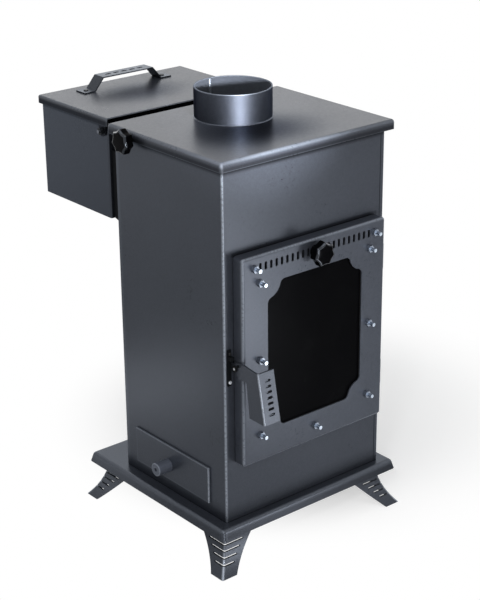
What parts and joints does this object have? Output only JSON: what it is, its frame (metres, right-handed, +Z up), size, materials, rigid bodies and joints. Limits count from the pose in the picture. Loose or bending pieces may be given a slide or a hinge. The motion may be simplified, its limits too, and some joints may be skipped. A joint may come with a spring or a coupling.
{
  "type": "pellet stove",
  "caption": "Free-standing sheet-steel pellet stove with glazed front door, sliding air vent, side ash drawer, top flue collar, rear pellet hopper and flared slotted legs.",
  "frame": {"origin": "on the floor under the middle of the stove's overall box", "axes": "+X to the stove's right seen from its front, +Y to the hopper at the back, +Z up along the flue"},
  "size_m": [0.376, 0.5616, 0.702],
  "materials": {
    "stove_paint": "satin heat-proof paint, anthracite",
    "black_paint": "black paint",
    "inner_steel": "bare sheet steel",
    "zinc": "bright zinc plate",
    "knob_plastic": "glossy moulded",
    "seal_rope": "woven glass fibre",
    "ceramic_glass": "dark ceramic glass"
  },
  "bodies": {
    "stove": {"base_plinth": "stove_paint", "leg_front_left": "stove_paint", "leg_front_right": "stove_paint", "leg_rear_left": "stove_paint", "leg_rear_right": "stove_paint", "leg_studs": "zinc", "leg_nuts": "zinc", "body_wrap": "stove_paint", "rear_panel": "stove_paint", "top_plate": "stove_paint", "flue_collar": "stove_paint", "hearth_ledges": "inner_steel", "hearth_plate": "inner_steel", "baffle_ledges": "inner_steel", "flame_baffle": "inner_steel", "burn_basket": "inner_steel", "feed_chute": "inner_steel", "feed_throat": "inner_steel", "hopper_neck": "black_paint", "hopper_shell": "stove_paint", "hopper_slide": "inner_steel", "neck_bolts": "zinc", "neck_nuts": "zinc", "lid_pivots": "black_paint", "lid_pivot_nuts": "black_paint", "hinge_body_leaves": "stove_paint", "hinge_pins": "zinc", "latch_keeper": "black_paint", "keeper_screws": "zinc", "drawer_runners": "inner_steel"},
    "door": {"door_panel": "stove_paint", "door_glass": "ceramic_glass", "glass_gasket": "seal_rope", "glass_clamps": "inner_steel", "clamp_bolts": "zinc", "guide_bolts": "zinc", "door_nuts": "zinc", "gasket_frame": "inner_steel", "door_gasket": "seal_rope", "hinge_door_leaves": "stove_paint", "latch_pivot": "black_paint"},
    "latch": {"latch_lever": "stove_paint", "latch_nose": "black_paint"},
    "slider": {"air_slider": "inner_steel", "slider_stud": "zinc", "slider_knob": "knob_plastic"},
    "drawer": {"drawer_tray": "inner_steel", "drawer_front": "stove_paint", "drawer_knob": "black_paint", "drawer_screw": "zinc"},
    "lid": {"hopper_lid": "stove_paint", "lid_handle": "black_paint", "handle_screws": "zinc"},
    "damper": {"damper_shaft": "inner_steel", "damper_flap": "inner_steel", "damper_knob": "knob_plastic"}
  },
  "joints": [
    {"name": "door_swing", "type": "hinge", "parent": "stove", "child": "door", "pos_m": [0.1485, -0.21175, 0.343], "axis": [0, 0, 1], "range_deg": [0, 110]},
    {"name": "latch_turn", "type": "hinge", "parent": "door", "child": "latch", "pos_m": [-0.14475, -0.21475, 0.337], "axis": [-1, 0, 0], "range_deg": [0, 50]},
    {"name": "air_slide", "type": "slide", "parent": "door", "child": "slider", "axis": [1, 0, 0], "range_m": [0, 0.005]},
    {"name": "drawer_slide", "type": "slide", "parent": "stove", "child": "drawer", "axis": [-1, 0, 0], "range_m": [0, 0.2]},
    {"name": "lid_swing", "type": "hinge", "parent": "stove", "child": "lid", "pos_m": [0, 0.10225, 0.628], "axis": [1, 0, 0], "range_deg": [0, 95]},
    {"name": "damper_turn", "type": "hinge", "parent": "stove", "child": "damper", "pos_m": [0, -0.00075, 0.641], "axis": [-1, 0, 0], "range_deg": [0, 85]}
  ]
}
